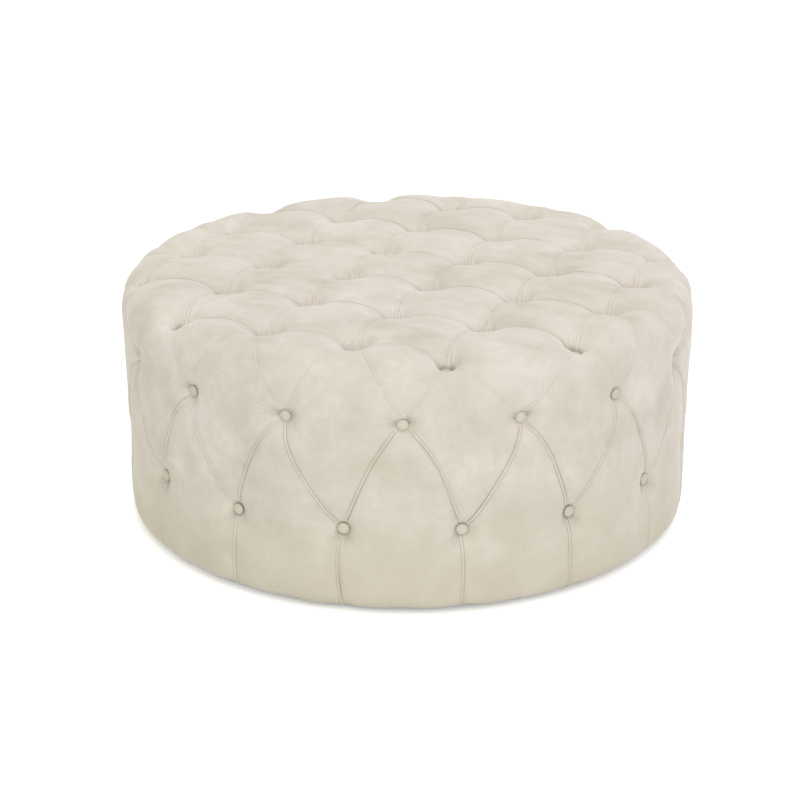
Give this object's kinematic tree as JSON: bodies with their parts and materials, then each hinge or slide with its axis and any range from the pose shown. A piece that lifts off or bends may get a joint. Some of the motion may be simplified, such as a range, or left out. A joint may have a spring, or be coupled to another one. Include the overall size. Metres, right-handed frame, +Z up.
{
  "type": "round tufted ottoman",
  "caption": "Low round drum ottoman with a deep button-tufted velvet top and sides, a padded rounded rim and hidden glides, built over a plywood drum.",
  "frame": {"origin": "on the floor, on the drum's vertical axis", "axes": "+Z up; X and Y run along the square grid of top buttons"},
  "size_m": [1.016, 1.016, 0.4445],
  "materials": {
    "velvet": "soft cream velvet, short pile, faint nap marks",
    "button": "cream velvet stretched over a domed button, on twine or a nail",
    "foam": "open-cell upholstery foam, matt",
    "nonwoven": "black spun dust cloth, matt",
    "plywood": "unfinished birch plywood",
    "timber": "planed pine",
    "hardboard": "thin brown hardboard, smooth",
    "plastic": "moulded black plastic"
  },
  "bodies": {
    "root": {"velvet_cover": "velvet", "top_foam": "foam", "side_foam": "foam", "base_board": "plywood", "top_deck": "plywood", "dust_cover": "nonwoven", "centre_post": "timber", "rim_post_1": "timber", "rim_post_2": "timber", "rim_post_3": "timber", "rim_post_4": "timber", "rim_post_5": "timber", "rim_post_6": "timber", "side_panel_1": "hardboard", "side_panel_2": "hardboard", "glide_1": "plastic", "glide_2": "plastic", "glide_3": "plastic", "glide_4": "plastic", "glide_5": "plastic", "glide_6": "plastic", "upper_button_01": "button", "lower_button_01": "button", "upper_button_02": "button", "lower_button_02": "button", "upper_button_03": "button", "lower_button_03": "button", "upper_button_04": "button", "lower_button_04": "button", "upper_button_05": "button", "lower_button_05": "button", "upper_button_06": "button", "lower_button_06": "button", "upper_button_07": "button", "lower_button_07": "button", "upper_button_08": "button", "lower_button_08": "button", "upper_button_09": "button", "lower_button_09": "button", "upper_button_10": "button", "lower_button_10": "button", "upper_button_11": "button", "lower_button_11": "button", "upper_button_12": "button", "lower_button_12": "button", "upper_button_13": "button", "lower_button_13": "button", "upper_button_14": "button", "lower_button_14": "button", "upper_button_15": "button", "lower_button_15": "button", "upper_button_16": "button", "lower_button_16": "button", "top_button_row_1": "button", "top_button_row_2": "button", "top_button_row_3": "button", "top_button_row_4": "button", "top_button_row_5": "button", "top_button_row_6": "button"}
  },
  "joints": []
}
